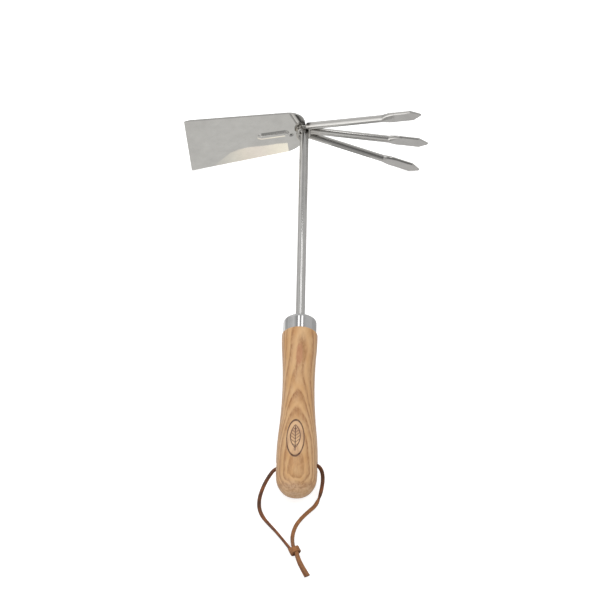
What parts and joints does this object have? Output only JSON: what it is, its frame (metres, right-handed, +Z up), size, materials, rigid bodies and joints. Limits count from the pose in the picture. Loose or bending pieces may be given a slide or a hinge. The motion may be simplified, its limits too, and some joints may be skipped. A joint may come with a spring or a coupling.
{
  "type": "hand rake",
  "caption": "Hand cultivator rake with a hoe blade on one side and pointed tines on the other, on a round steel shaft with a turned ash handle, metal ferrule and leather hanging lace.",
  "frame": {"origin": "centre of the bottom of the rigid tool's box, on the surface that the tool lies on, measured without the lace", "axes": "+Z up from the surface, +Y along the handle from the butt towards the head, -X towards the hoe blade and +X towards the tines; the shaft rises 4.1 degrees towards the head because the tool rests on its blade corner, lower tine and butt"},
  "size_m": [0.1924, 0.3805, 0.0767],
  "materials": {
    "ash": "oiled",
    "ferrule_steel": "satin",
    "polished_steel": "polished",
    "weld_metal": "bright",
    "epoxy": "cured",
    "leather": "waxed"
  },
  "bodies": {
    "root": {"handle": "ash", "ferrule": "ferrule_steel", "tang_adhesive": "epoxy", "shaft": "polished_steel", "blade": "polished_steel", "tine_upper": "polished_steel", "tine_middle": "polished_steel", "tine_lower": "polished_steel", "head_weld": "weld_metal", "lace_left": "leather", "lace_right": "leather", "lace_knot": "leather", "lace_tail_left": "leather", "lace_tail_right": "leather"}
  },
  "joints": []
}
